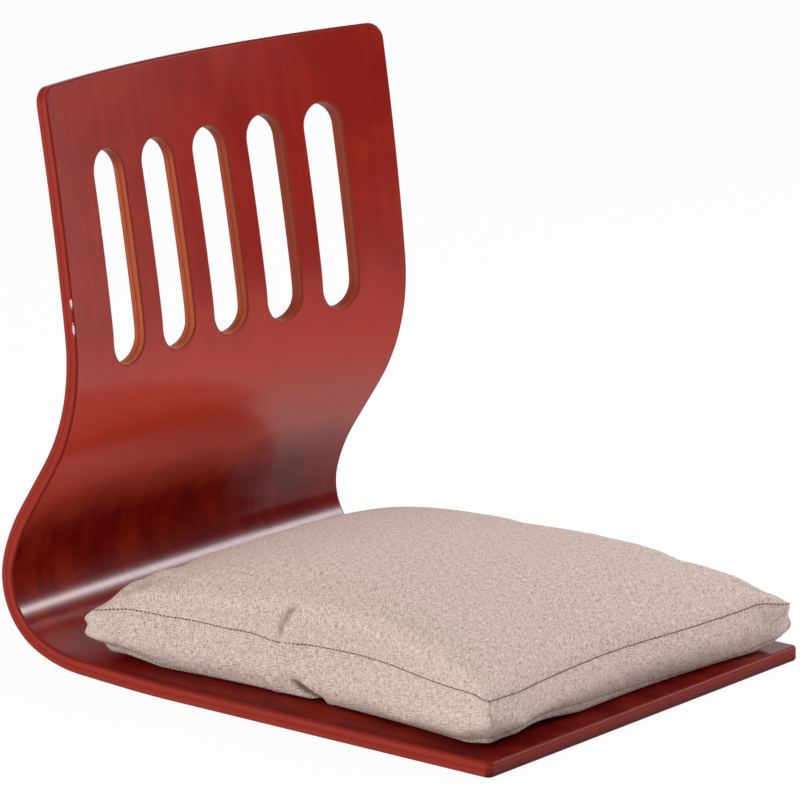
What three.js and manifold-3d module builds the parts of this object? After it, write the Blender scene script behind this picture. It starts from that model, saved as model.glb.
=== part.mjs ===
// Legless floor chair: one moulded plywood shell, seat and slotted back in a single sweep,
// with a loose boxed cushion lying on the seat.
// Millimetres, +Z up. The sitter faces -Y. The origin is on the floor under the middle of the chair.

import * as THREE from "three";
import { mergeVertices } from "three/addons/utils/BufferGeometryUtils.js";
import Module from "manifold-3d";

const wasm = await Module();
wasm.setup();

const chair = new THREE.Group();

function addMesh(parent, name, geometry, color, roughness, metalness = 0) {
  const mesh = new THREE.Mesh(geometry, new THREE.MeshStandardMaterial({ color, roughness, metalness }));
  mesh.name = name;
  parent.add(mesh);
  return mesh;
}

// Side line of the shell, on the face that the sitter touches, from the seat's front edge to the top
const seatWidth = 400;
const backTopWidth = 412;
const seatFlatLength = 431;
const heelEntryRadius = 119;
const heelEntryTurn = 22;
const heelRadius = 57;
const heelTurn = 81.7;
const heelExitRadius = 149;
const heelExitTurn = 18.6;
const riserLength = 52;
const lumbarRadius = 161;
const lumbarTurn = 40;
const upperBackLength = 205;
const upperBackRadius = 2560;

// Dish across the back: it starts a little before the heel and is deepest along the top edge
const dishRunIn = 75;
const topDish = 29.1;

// Outline
const frontCornerRadius = 6;
const topCornerRadius = 15;
const topArch = 5;

// Lay-up: thin face veneers over seven core plies, with a glue line between each two layers
const corePlyCount = 7;
const corePlyThickness = 1.5;
const faceVeneerThickness = 0.6;
const glueLine = 0.1;
const edgeRound = 2.5;

// Row of upright slots in the back
const slotCount = 5;
const slotPitch = 65.5;
const slotWidth = 40.4;
const slotLength = 177;
const slotTopMargin = 62;
const slotEdgeRound = 1.5;

// Fineness of the facets
const facetSag = 0.3;
const slotRowMargin = 4;
const columnPitch = 70;
const slotEndSteps = 8;
const cornerSteps = 4;
const evenShare = 1e-6;

const layerCount = corePlyCount + 2;
const coreThickness = corePlyCount * corePlyThickness;
const shellThickness = coreThickness + 2 * faceVeneerThickness + (layerCount - 1) * glueLine;

function straightRun(length) {
  return { length, bend: 0 };
}

// A run that bends towards the sitter has a positive turn
function curvedRun(radius, turnDegrees) {
  const turn = THREE.MathUtils.degToRad(Math.abs(turnDegrees));
  return { length: radius * turn, bend: Math.sign(turnDegrees) / radius };
}

const upperBackTurn = THREE.MathUtils.radToDeg(upperBackLength / upperBackRadius);
const sideRuns = [
  straightRun(seatFlatLength - dishRunIn),
  straightRun(dishRunIn),
  curvedRun(heelEntryRadius, heelEntryTurn),
  curvedRun(heelRadius, heelTurn),
  curvedRun(heelExitRadius, heelExitTurn),
  straightRun(riserLength),
  curvedRun(lumbarRadius, -lumbarTurn),
  curvedRun(upperBackRadius, -upperBackTurn),
];
const sideLength = sideRuns.reduce((sum, run) => sum + run.length, 0);
const dishStart = seatFlatLength - dishRunIn;

// Place and heading on the side line, a given length along it
function sideLine(along) {
  let y = 0;
  let z = 0;
  let heading = 0;
  let left = along;
  for (const run of sideRuns) {
    const length = Math.min(left, run.length);
    const turn = run.bend * length;
    const chord = turn === 0 ? length : 2 * Math.sin(turn / 2) / run.bend;
    y += chord * Math.cos(heading + turn / 2);
    z += chord * Math.sin(heading + turn / 2);
    heading += turn;
    left -= length;
  }
  return { y, z, heading };
}

// Half the shell's width, a given length along the side line
function halfWidth(along) {
  return (seatWidth + (backTopWidth - seatWidth) * along / sideLength) / 2;
}

// How far the shell stands forward of its middle line
function dish(along, across) {
  const depthShare = Math.max(0, along - dishStart) / (sideLength - dishStart);
  return topDish * depthShare * (2 * across / backTopWidth) ** 2;
}

// A point of the shell: along the side line, across the chair, and below the sitter's face
function shellPoint(along, across, depth) {
  const { y, z, heading } = sideLine(along);
  const rise = dish(along, across) - depth;
  return [across, y - Math.sin(heading) * rise, z + Math.cos(heading) * rise];
}

// How far a rounded edge is drawn in, a given depth below the sitter's face
function edgeDraw(depth, radius) {
  const toFace = Math.min(depth, shellThickness - depth);
  if (toFace >= radius) return 0;
  return radius - Math.sqrt(radius ** 2 - (radius - toFace) ** 2);
}

// Flat pattern shared by all the plies: points in length along and across, and the way each edge draws in
const patternPoints = [];
const patternTriangles = [];

function patternPoint(along, across, drawAlong = 0, drawAcross = 0, round = 0) {
  patternPoints.push({ along, across, drawAlong, drawAcross, round });
  return patternPoints.length - 1;
}

function patternDistance(a, b) {
  const first = patternPoints[a];
  const second = patternPoints[b];
  return Math.hypot(first.along - second.along, first.across - second.across);
}

// Fills the strip between two chains of points that both run from the left edge to the right one.
// Each step takes the shorter diagonal, and two that differ by less than evenShare count as even.
function fillStrip(lower, upper) {
  let i = 0;
  let j = 0;
  while (i < lower.length - 1 || j < upper.length - 1) {
    const lowerStep = i < lower.length - 1 ? patternDistance(lower[i + 1], upper[j]) : Infinity;
    const upperStep = j < upper.length - 1 ? patternDistance(lower[i], upper[j + 1]) : Infinity;
    if (lowerStep <= upperStep * (1 + evenShare)) {
      patternTriangles.push([lower[i], lower[i + 1], upper[j]]);
      i += 1;
    } else {
      patternTriangles.push([lower[i], upper[j + 1], upper[j]]);
      j += 1;
    }
  }
}

// Lengths along the side line between two places, close enough that no facet is off by more than facetSag
function stations(from, to) {
  const marks = [from];
  let start = 0;
  for (const run of sideRuns) {
    const low = Math.max(from, start);
    const high = Math.min(to, start + run.length);
    if (high - low > facetSag) {
      const turn = (high - low) * Math.abs(run.bend);
      const steps = turn === 0 ? 1 : Math.ceil(turn / (2 * Math.acos(1 - facetSag * Math.abs(run.bend))));
      for (let step = 1; step <= steps; step += 1) marks.push(low + (high - low) * step / steps);
    }
    start += run.length;
  }
  marks[marks.length - 1] = to;
  return marks;
}

// A row of points from edge to edge, with the places between them given
function edgeToEdge(along, between) {
  const half = halfWidth(along);
  return [
    patternPoint(along, -half, 0, 1, edgeRound),
    ...between.map((across) => patternPoint(along, across)),
    patternPoint(along, half, 0, -1, edgeRound),
  ];
}

// Evenly spread places between two ends, no further apart than columnPitch
function spread(from, to) {
  const steps = Math.ceil((to - from) / columnPitch);
  return Array.from({ length: steps - 1 }, (_, i) => from + (to - from) * (i + 1) / steps);
}

// One rounded corner of the outline, as points from the side edge to the front or top edge
function corner(centreAlong, radius, towards, side) {
  const points = [];
  for (let step = 0; step <= cornerSteps; step += 1) {
    const angle = Math.PI / 2 * step / cornerSteps;
    const along = centreAlong + towards * radius * Math.sin(angle);
    const across = side * (halfWidth(centreAlong) - radius + radius * Math.cos(angle));
    points.push(patternPoint(along, across, -towards * Math.sin(angle), -side * Math.cos(angle), edgeRound));
  }
  return side < 0 ? points : points.reverse();
}

const slotRadius = slotWidth / 2;
const slotTop = sideLength - slotTopMargin;
const slotBottom = slotTop - slotLength;
const slotCentres = Array.from({ length: slotCount }, (_, i) => (i - (slotCount - 1) / 2) * slotPitch);

// A slot's round end: towards is -1 for the lower end and 1 for the upper one
function slotEnd(centreAlong, centreAcross, towards) {
  const points = [];
  for (let step = 1; step < slotEndSteps; step += 1) {
    const angle = Math.PI * (step / slotEndSteps - 1 / 2);
    const along = towards * Math.cos(angle);
    const across = Math.sin(angle);
    points.push(patternPoint(
      centreAlong + slotRadius * along, centreAcross + slotRadius * across, along, across, slotEdgeRound));
  }
  return points;
}

// A bar beside or between the slots, as one row of points
function barRow(along, bar) {
  const half = halfWidth(along);
  const isFirst = bar === 0;
  const isLast = bar === slotCount;
  const left = isFirst ? -half : slotCentres[bar - 1] + slotRadius;
  const right = isLast ? half : slotCentres[bar] - slotRadius;
  const leftRound = isFirst ? edgeRound : slotEdgeRound;
  const rightRound = isLast ? edgeRound : slotEdgeRound;
  const between = isFirst || isLast ? [(left + right) / 2] : [];
  return [
    patternPoint(along, left, 0, 1, leftRound),
    ...between.map((across) => patternPoint(along, across)),
    patternPoint(along, right, 0, -1, rightRound),
  ];
}

// Columns of the rows just below and above the slots
function slotRowColumns(along) {
  const outerBar = (halfWidth(along) + slotCentres[slotCount - 1] + slotRadius) / 2;
  const columns = slotCentres.flatMap((centre) => [centre - slotRadius, centre, centre + slotRadius]);
  return [-outerBar, ...columns, outerBar];
}

function layOutPattern() {
  // Front edge and the plain sweep up to the slots
  const frontHalf = halfWidth(frontCornerRadius) - frontCornerRadius;
  const frontEdge = [
    ...corner(frontCornerRadius, frontCornerRadius, -1, -1),
    ...spread(-frontHalf, frontHalf).map((across) => patternPoint(0, across, 1, 0, edgeRound)),
    ...corner(frontCornerRadius, frontCornerRadius, -1, 1),
  ];
  let row = frontEdge;
  const belowSlots = slotBottom - slotRowMargin;
  for (const along of stations(dishStart, belowSlots)) {
    const half = halfWidth(along);
    const columns = along === belowSlots ? slotRowColumns(along) : spread(-half, half);
    const next = edgeToEdge(along, columns);
    fillStrip(row, next);
    row = next;
  }

  // Slots and the bars between them
  const barBottom = slotBottom + slotRadius;
  const barTop = slotTop - slotRadius;
  const barStations = stations(barBottom, barTop);
  const lowerChain = [];
  const upperChain = [];
  for (let bar = 0; bar <= slotCount; bar += 1) {
    const rows = barStations.map((along) => barRow(along, bar));
    for (let i = 1; i < rows.length; i += 1) fillStrip(rows[i - 1], rows[i]);
    lowerChain.push(...rows[0]);
    upperChain.push(...rows[rows.length - 1]);
    if (bar < slotCount) {
      lowerChain.push(...slotEnd(barBottom, slotCentres[bar], -1));
      upperChain.push(...slotEnd(barTop, slotCentres[bar], 1));
    }
  }
  fillStrip(row, lowerChain);
  const aboveSlots = slotTop + slotRowMargin;
  row = edgeToEdge(aboveSlots, slotRowColumns(aboveSlots));
  fillStrip(upperChain, row);

  // Top rail with its arched edge
  const topFlatHalf = halfWidth(sideLength) - topCornerRadius;
  const archAlong = (across) => sideLength - topArch * (across / topFlatHalf) ** 2;
  const cornerCentre = archAlong(topFlatHalf) - topCornerRadius;
  const topEdge = [
    ...corner(cornerCentre, topCornerRadius, 1, -1),
    ...spread(-topFlatHalf, topFlatHalf).map((across) => (
      patternPoint(archAlong(across), across, -1, 0, edgeRound))),
    ...corner(cornerCentre, topCornerRadius, 1, 1),
  ];
  fillStrip(row, topEdge);
}

function closedGeometry(positions, triangles) {
  const geometry = new THREE.BufferGeometry();
  geometry.setAttribute("position", new THREE.Float32BufferAttribute(positions.flat(), 3));
  geometry.setIndex(triangles.flat());
  geometry.computeVertexNormals();
  return geometry;
}

// One ply: the pattern at two depths, joined by walls round the outline and the slots
function plyGeometry(frontDepth, backDepth) {
  const count = patternPoints.length;
  const positions = [frontDepth, backDepth].flatMap((depth) => patternPoints.map((point) => {
    const draw = edgeDraw(depth, point.round);
    return shellPoint(point.along + draw * point.drawAlong, point.across + draw * point.drawAcross, depth);
  }));
  const triangles = [];
  const open = new Map();
  for (const [a, b, c] of patternTriangles) {
    triangles.push([a, b, c], [c + count, b + count, a + count]);
    for (const [from, to] of [[a, b], [b, c], [c, a]]) {
      if (!open.delete(`${to} ${from}`)) open.set(`${from} ${to}`, [from, to]);
    }
  }
  for (const [from, to] of open.values()) {
    triangles.push([to, from, from + count], [to, from + count, to + count]);
  }
  return closedGeometry(positions, triangles);
}

// The shell: from the sitter's face veneer through the core to the veneer on the back
const stainedFace = 0x7a1e12;
const stainedCore = 0xa8452c;
layOutPattern();
const shell = new THREE.Group();
chair.add(shell);
const layers = [
  { name: "front_face_veneer", thickness: faceVeneerThickness, color: stainedFace },
  ...Array.from({ length: corePlyCount }, (_, i) => (
    { name: `core_ply_${i + 1}`, thickness: corePlyThickness, color: stainedCore })),
  { name: "back_face_veneer", thickness: faceVeneerThickness, color: stainedFace },
];
let layerDepth = 0;
for (const { name, thickness, color } of layers) {
  addMesh(shell, name, plyGeometry(layerDepth, layerDepth + thickness), color, 0.3);
  layerDepth += thickness + glueLine;
}

// Glued felt pads under the corners of the flat seat, which keep the lacquer off the floor
const padDiameter = 25;
const padThickness = 2;
const padInset = 35;
const padSides = 20;
for (const [sideName, side] of [["right", -1], ["left", 1]]) {
  for (const [endName, y] of [["front", padInset], ["rear", seatFlatLength - padInset]]) {
    const disc = new THREE.CylinderGeometry(padDiameter / 2, padDiameter / 2, padThickness, padSides);
    disc.rotateX(Math.PI / 2);
    const pad = addMesh(shell, `felt_pad_${endName}_${sideName}`, disc, 0x2a2420, 0.95);
    pad.position.set(side * (seatWidth / 2 - padInset), y, -shellThickness - glueLine - padThickness / 2);
  }
}

// Cushion: a boxed cover, fuller in the middle than along its seams, over a foam core and a layer of wadding
const cushionSideGap = 20;
const cushionFrontGap = 8;
const cushionBackGap = 7;
const boxingHeight = 33;
const cushionCrown = 58;
const undersideSwell = 12;
const seamLift = 9;
const sideDraw = 28;
const frontDraw = 15;
const cornerPinch = 3;
const boxingBulge = 3;
const crownShare = 0.36;
const clothThickness = 0.9;
const clothGap = 0.3;
const waddingThickness = 12;
const cushionColumns = 10;
const cushionWidth = seatWidth - 2 * cushionSideGap;
const cushionDepth = seatFlatLength - cushionFrontGap - cushionBackGap;
const oatCloth = 0xb9a491;

const cushion = new THREE.Group();
cushion.position.set(0, cushionFrontGap + cushionDepth / 2, clothGap);
chair.add(cushion);

// Place in the cushion's plan: u and v run from -1 to 1, and v is -1 along the front
function planPoint(u, v, inset, backInset = inset) {
  const x = u * (cushionWidth / 2 - sideDraw * (1 - v ** 2) - inset);
  const straightY = v * (cushionDepth - inset - backInset) / 2 + (inset - backInset) / 2;
  return [x, straightY + frontDraw * (1 - u ** 2) * ((1 - v) / 2) ** 2];
}

// How full the cushion is at a place: 0 on the seams and 1 in the middle
function fullness(u, v) {
  return Math.max(0, (1 - u ** 2) * (1 - v ** 2)) ** crownShare;
}

function lowerSeam(u, v) {
  return seamLift + cornerPinch * (u * v) ** 2;
}

function upperSeam(u, v) {
  return seamLift + boxingHeight - cornerPinch * (u * v) ** 2;
}

// Height of the cover's or filling's surface, a given depth inside the cloth's outer face
function topHeight(u, v, depth) {
  return upperSeam(u, v) + (cushionCrown - depth) * fullness(u, v);
}

function undersideHeight(u, v, depth) {
  return Math.max(depth, lowerSeam(u, v) - (undersideSwell - depth) * fullness(u, v));
}

// Places of the cushion's rows and columns, closer together towards the seams
const planShares = Array.from({ length: cushionColumns + 1 }, (_, i) => (
  Math.sin(Math.PI * (i / cushionColumns - 1 / 2))));

// A closed layer between two surfaces over the cushion's plan
function layerGeometry(upperPoint, lowerPoint) {
  const columns = cushionColumns;
  const positions = [upperPoint, lowerPoint].flatMap((surface) => (
    planShares.flatMap((v) => planShares.map((u) => surface(u, v)))));
  const count = planShares.length ** 2;
  const at = (i, j) => j * planShares.length + i;
  const triangles = [];
  for (let j = 0; j < columns; j += 1) {
    for (let i = 0; i < columns; i += 1) {
      const [a, b, c, d] = [at(i, j), at(i + 1, j), at(i + 1, j + 1), at(i, j + 1)];
      triangles.push([a, b, c], [a, c, d]);
      triangles.push([c + count, b + count, a + count], [d + count, c + count, a + count]);
    }
  }
  for (let i = 0; i < columns; i += 1) {
    const rims = [[at(i, 0), at(i + 1, 0)], [at(columns, i), at(columns, i + 1)],
      [at(i + 1, columns), at(i, columns)], [at(0, i + 1), at(0, i)]];
    for (const [from, to] of rims) {
      triangles.push([to, from, from + count], [to, from + count, to + count]);
    }
  }
  return closedGeometry(positions, triangles);
}

// A strip swept through rings of points; each ring goes up its outer face and down its inner one
function stripGeometry(rings) {
  const size = rings[0].length;
  const triangles = [];
  for (let ring = 0; ring < rings.length - 1; ring += 1) {
    for (let i = 0; i < size; i += 1) {
      const a = ring * size + i;
      const b = ring * size + (i + 1) % size;
      triangles.push([a, a + size, b + size], [a, b + size, b]);
    }
  }
  const last = (rings.length - 1) * size;
  for (let i = 0; i < size / 2 - 1; i += 1) {
    const [a, b, c, d] = [i, i + 1, size - 2 - i, size - 1 - i];
    triangles.push([a, b, c], [a, c, d], [last + c, last + b, last + a], [last + d, last + c, last + a]);
  }
  return closedGeometry(rings.flat(), triangles);
}

addMesh(cushion, "cushion_top_panel", layerGeometry(
  (u, v) => [...planPoint(u, v, 0), topHeight(u, v, 0)],
  (u, v) => [...planPoint(u, v, clothThickness), topHeight(u, v, clothThickness)]), oatCloth, 0.95);
addMesh(cushion, "cushion_bottom_panel", layerGeometry(
  (u, v) => [...planPoint(u, v, clothThickness), undersideHeight(u, v, clothThickness)],
  (u, v) => [...planPoint(u, v, 0), undersideHeight(u, v, 0)]), oatCloth, 0.95);

// One boxing strip goes round both sides and the front
function boxingRing(u, v) {
  const low = lowerSeam(u, v) + clothGap;
  const high = upperSeam(u, v) - clothGap;
  const bulge = boxingBulge * (1 - (u * v) ** 2);
  const mid = (low + high) / 2;
  return [
    [...planPoint(u, v, 0), low],
    [...planPoint(u, v, -bulge), mid],
    [...planPoint(u, v, 0), high],
    [...planPoint(u, v, clothThickness), high],
    [...planPoint(u, v, clothThickness - bulge), mid],
    [...planPoint(u, v, clothThickness), low],
  ];
}
const boxingPath = [
  ...planShares.map((share) => [-1, -share]),
  ...planShares.slice(1).map((share) => [share, -1]),
  ...planShares.slice(1).map((share) => [1, share]),
];
const boxingRings = boxingPath.map(([u, v]) => boxingRing(u, v));
addMesh(cushion, "cushion_boxing", stripGeometry(boxingRings), oatCloth, 0.95);

// Zip across the back of the cover: two rows of coil on two tapes, in a slit between two strips of cloth
const zipSideMargin = 30;
const zipEndMargin = 12;
const tapeWidth = 12;
const tapeThickness = 0.5;
const coilWidth = 2.5;
const coilDepth = 2.2;
const coilFaces = 6;
const rowGap = 1.4;
const tapeGap = 2.4;
const stopLength = 2;
const runningGap = 0.3;
const sliderLength = 11;
const sliderPlate = 1;
const sliderFlange = 0.8;
const postLength = 3;
const archLength = 6.4;
const archWidth = 1.6;
const archBar = 0.9;
const pullBar = 1.2;
const pullLength = 24;
const pullWidth = 6;
const zipMetal = 0x8d8378;

const zipLength = cushionWidth - 2 * zipSideMargin;
const zipHeight = seamLift + boxingHeight / 2;
const coilHalf = rowGap / 2 + coilWidth;
const sliderHalf = coilHalf + runningGap + sliderFlange;
const slitHalf = sliderHalf + runningGap;
const clothInner = cushionDepth / 2 - clothThickness;
const tapeOuter = clothInner - clothGap;
const tapeInner = tapeOuter - tapeThickness;
const coilInner = tapeOuter + runningGap;
const coilOuter = coilInner + coilDepth;

function zipClothRing(u, low, high) {
  const [outerX, outerY] = planPoint(u, 1, 0);
  const [innerX, innerY] = planPoint(u, 1, clothThickness);
  const end = u * 2 * clothGap;
  return [[outerX - end, outerY, low], [outerX - end, outerY, high], [innerX - end, innerY, high],
    [innerX - end, innerY, low]];
}
const backShares = [...planShares].reverse();
addMesh(cushion, "zip_cloth_upper", stripGeometry(backShares.map((u) => (
  zipClothRing(u, zipHeight + slitHalf, upperSeam(u, 1) - clothGap)))), oatCloth, 0.95);
addMesh(cushion, "zip_cloth_lower", stripGeometry(backShares.map((u) => (
  zipClothRing(u, lowerSeam(u, 1) + clothGap, zipHeight - slitHalf)))), oatCloth, 0.95);

// The coil's rounded section, lying along the tape's edge
function coilGeometry(length, side) {
  const section = new THREE.Shape();
  for (let i = 0; i <= coilFaces; i += 1) {
    const angle = Math.PI * i / coilFaces;
    const across = coilWidth / 2 * Math.cos(angle);
    const out = coilDepth * Math.sin(angle);
    if (i === 0) section.moveTo(across, out);
    else section.lineTo(across, out);
  }
  const geometry = new THREE.ExtrudeGeometry(section, { depth: length, bevelEnabled: false, steps: 1 });
  geometry.translate(0, 0, -length / 2);
  geometry.applyMatrix4(new THREE.Matrix4().makeBasis(
    new THREE.Vector3(0, 0, 1), new THREE.Vector3(0, 1, 0), new THREE.Vector3(-1, 0, 0)));
  geometry.translate(0, coilInner, zipHeight + side * (rowGap + coilWidth) / 2);
  return geometry;
}

const coilLength = zipLength - 2 * (stopLength + runningGap);
for (const [place, side] of [["upper", 1], ["lower", -1]]) {
  const tape = new THREE.BoxGeometry(cushionWidth - 2 * zipEndMargin, tapeThickness, tapeWidth);
  tape.translate(0, (tapeOuter + tapeInner) / 2, zipHeight + side * (tapeGap + tapeWidth) / 2);
  addMesh(cushion, `zip_tape_${place}`, tape, 0xa8937f, 0.9);
  addMesh(cushion, `zip_coil_${place}`, coilGeometry(coilLength, side), 0x9c8874, 0.6);
}
for (const [place, side] of [["closed", 1], ["open", -1]]) {
  const stop = new THREE.BoxGeometry(stopLength, coilDepth, 2 * coilHalf);
  stop.translate(side * (zipLength - stopLength) / 2, coilInner + coilDepth / 2, zipHeight);
  addMesh(cushion, `zip_stop_${place}`, stop, zipMetal, 0.35, 0.8);
}

// Foam core and the wadding that rounds its top, both clear of the zip's slider
const fillGap = 1;
const coverLining = clothThickness + clothGap;
const fillInset = clothThickness + fillGap;
const fillBack = cushionDepth / 2 - tapeInner + sliderPlate + runningGap + fillGap;
const waddingDepth = coverLining + waddingThickness;
const fillPoint = (u, v) => planPoint(u, v, fillInset, fillBack);
addMesh(cushion, "wadding_layer", layerGeometry(
  (u, v) => [...fillPoint(u, v), topHeight(u, v, coverLining)],
  (u, v) => [...fillPoint(u, v), topHeight(u, v, waddingDepth) - clothGap]), 0xf2efe6, 0.95);
addMesh(cushion, "foam_core", layerGeometry(
  (u, v) => [...fillPoint(u, v), topHeight(u, v, waddingDepth + clothGap) - 2 * clothGap],
  (u, v) => [...fillPoint(u, v), undersideHeight(u, v, coverLining) + clothGap]), 0xe6d9a8, 0.95);

// Slider: two plates joined by a post between the rows, flanges beside the coil and an arch for the pull
function toSolid(geometry) {
  const welded = geometry.clone();
  welded.deleteAttribute("normal");
  welded.deleteAttribute("uv");
  const merged = mergeVertices(welded);
  return new wasm.Manifold(new wasm.Mesh({
    numProp: 3,
    vertProperties: new Float32Array(merged.attributes.position.array),
    triVerts: new Uint32Array(merged.index.array),
  }));
}

function fromSolid(solid) {
  const { vertProperties, triVerts } = solid.getMesh();
  const geometry = new THREE.BufferGeometry();
  geometry.setAttribute("position", new THREE.BufferAttribute(new Float32Array(vertProperties), 3));
  geometry.setIndex(new THREE.BufferAttribute(new Uint32Array(triVerts), 1));
  geometry.computeVertexNormals();
  return geometry;
}

function block(x0, x1, y0, y1, z0, z1) {
  const geometry = new THREE.BoxGeometry(x1 - x0, y1 - y0, z1 - z0);
  geometry.translate((x0 + x1) / 2, (y0 + y1) / 2, (z0 + z1) / 2);
  return geometry;
}

// A flat plate cut to an outline in length and height, standing between two distances from the cover
function plate(outline, y0, y1) {
  const geometry = new THREE.ExtrudeGeometry(outline, { depth: y1 - y0, bevelEnabled: false, steps: 1 });
  geometry.rotateX(Math.PI / 2);
  geometry.translate(0, y1, 0);
  return geometry;
}

// Shield-shaped outline: wide at the mouth, where the two rows enter, and narrow at the tail
function shieldOutline(half) {
  const tailHalf = half - sliderFlange;
  const noseX = sliderLength / 2;
  const shoulderX = noseX - 2 * sliderFlange;
  return new THREE.Shape([
    new THREE.Vector2(-noseX, -tailHalf),
    new THREE.Vector2(0, -half),
    new THREE.Vector2(shoulderX, -half),
    new THREE.Vector2(noseX, -tailHalf),
    new THREE.Vector2(noseX, tailHalf),
    new THREE.Vector2(shoulderX, half),
    new THREE.Vector2(0, half),
    new THREE.Vector2(-noseX, tailHalf),
  ]);
}

const plateInner = coilOuter + runningGap;
const plateOuter = plateInner + sliderPlate;
const backPlateOuter = tapeInner - runningGap;
const pullClearance = pullBar / 2 * Math.SQRT2 + runningGap;
const pullAxisY = plateOuter + pullClearance;
const archTop = pullAxisY + pullClearance + archBar;
const postHalf = rowGap / 2 - runningGap;
const backPlateInner = backPlateOuter - sliderPlate;
const postStart = sliderLength / 2 - postLength;
const sliderParts = [
  plate(shieldOutline(sliderHalf), plateInner, plateOuter),
  plate(shieldOutline(sliderHalf), backPlateInner, backPlateOuter),
  block(postStart, sliderLength / 2, backPlateInner, plateOuter, -postHalf, postHalf),
  block(-archLength / 2, archBar - archLength / 2, plateInner, archTop, -archWidth / 2, archWidth / 2),
  block(archLength / 2 - archBar, archLength / 2, plateInner, archTop, -archWidth / 2, archWidth / 2),
  block(-archLength / 2, archLength / 2, archTop - archBar, archTop, -archWidth / 2, archWidth / 2),
];
const flangeEnd = sliderLength / 2 - 2 * sliderFlange;
const flangeInner = sliderHalf - sliderFlange;
sliderParts.push(block(0, flangeEnd, tapeOuter + runningGap, plateOuter, flangeInner, sliderHalf));
sliderParts.push(block(0, flangeEnd, tapeOuter + runningGap, plateOuter, -sliderHalf, -flangeInner));
const sliderSolid = sliderParts.map(toSolid).reduce((body, part) => body.add(part));
const closedPlace = zipLength / 2 - stopLength - runningGap - sliderLength / 2;
const slider = new THREE.Group();
slider.position.set(closedPlace, 0, zipHeight);
cushion.add(slider);
addMesh(slider, "zip_slider", fromSolid(sliderSolid), zipMetal, 0.35, 0.85);

// Pull: a tapered tab whose eye passes through the arch, lying towards the open end
const eyeReach = Math.hypot(archLength / 2, archTop - pullAxisY) + runningGap;
const eyeHalf = archWidth / 2 + runningGap;
const pullTipHalf = pullWidth / 2 - pullBar / 2;
const pullOutline = new THREE.Shape([
  new THREE.Vector2(pullBar / 2, -pullTipHalf),
  new THREE.Vector2(pullBar / 2, pullTipHalf),
  new THREE.Vector2(-eyeReach, pullWidth / 2),
  new THREE.Vector2(-pullLength + pullBar, pullWidth / 2),
  new THREE.Vector2(-pullLength, pullTipHalf),
  new THREE.Vector2(-pullLength, -pullTipHalf),
  new THREE.Vector2(-pullLength + pullBar, -pullWidth / 2),
  new THREE.Vector2(-eyeReach, -pullWidth / 2),
]);
pullOutline.holes.push(new THREE.Path([
  new THREE.Vector2(-pullBar / 2, -eyeHalf),
  new THREE.Vector2(-eyeReach, -eyeHalf),
  new THREE.Vector2(-eyeReach, eyeHalf),
  new THREE.Vector2(-pullBar / 2, eyeHalf),
]));
const pull = addMesh(slider, "zip_pull", plate(pullOutline, -pullBar / 2, pullBar / 2), zipMetal, 0.35, 0.85);
pull.position.y = pullAxisY;

// Stand the chair on the floor with the origin under its middle
const extent = new THREE.Box3().setFromObject(chair);
chair.position.set(0, -(extent.min.y + extent.max.y) / 2, -extent.min.z);

export default chair;
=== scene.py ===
from math import ceil, cos, dist, pi, radians, sin

import bpy
import numpy as np
from mathutils import Matrix, Vector
from mathutils.geometry import delaunay_2d_cdt


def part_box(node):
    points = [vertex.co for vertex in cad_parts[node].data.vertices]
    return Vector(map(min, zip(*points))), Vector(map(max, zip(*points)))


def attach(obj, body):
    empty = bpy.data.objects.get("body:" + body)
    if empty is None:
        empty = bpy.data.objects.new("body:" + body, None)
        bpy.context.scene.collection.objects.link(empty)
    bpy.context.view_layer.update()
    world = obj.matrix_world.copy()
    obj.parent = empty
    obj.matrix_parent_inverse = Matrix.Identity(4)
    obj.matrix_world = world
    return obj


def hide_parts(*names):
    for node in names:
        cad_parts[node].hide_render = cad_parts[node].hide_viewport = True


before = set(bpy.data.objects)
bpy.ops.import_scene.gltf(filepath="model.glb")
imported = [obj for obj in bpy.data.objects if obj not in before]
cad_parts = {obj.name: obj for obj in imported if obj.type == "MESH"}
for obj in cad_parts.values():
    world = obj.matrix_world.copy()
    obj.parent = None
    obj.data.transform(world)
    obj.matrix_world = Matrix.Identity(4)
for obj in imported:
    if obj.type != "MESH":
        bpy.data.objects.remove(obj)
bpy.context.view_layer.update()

# Camera: stands in front of the sitter's right side, a little above the back's top, and looks down at the seat.
# Its place, turn and lens come from the outlines in the photo.
photo_camera = bpy.data.cameras.new("photo_camera")
photo_camera.sensor_width = 36
photo_camera.lens = 216.574


def put_in_scene(name, data):
    placed = bpy.data.objects.new(name, data)
    bpy.context.scene.collection.objects.link(placed)
    return placed


camera_stand = put_in_scene("photo_camera", photo_camera)
turn, dip, tilt = (radians(angle) for angle in (-49.519, -13.576, -0.767))
camera_stand.matrix_world = (
    Matrix.Translation((-2.88644, -2.47053, 1.13872)) @ Matrix.Rotation(turn, 4, "Z")
    @ Matrix.Rotation(pi / 2 + dip, 4, "X") @ Matrix.Rotation(tilt, 4, "Z"))
bpy.context.scene.camera = camera_stand


# Board shape: seat and back are one board, bent in one sweep in a heated mould. Nine sheets of wood are glued
# between the mould's halves, cut to outline, slotted with a router and rounded along every edge.
def mould_arc(radius, degrees):
    """Length of one bend of the mould and its curvature; a negative radius bends back."""
    return abs(radius) * radians(degrees), 1 / radius


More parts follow.
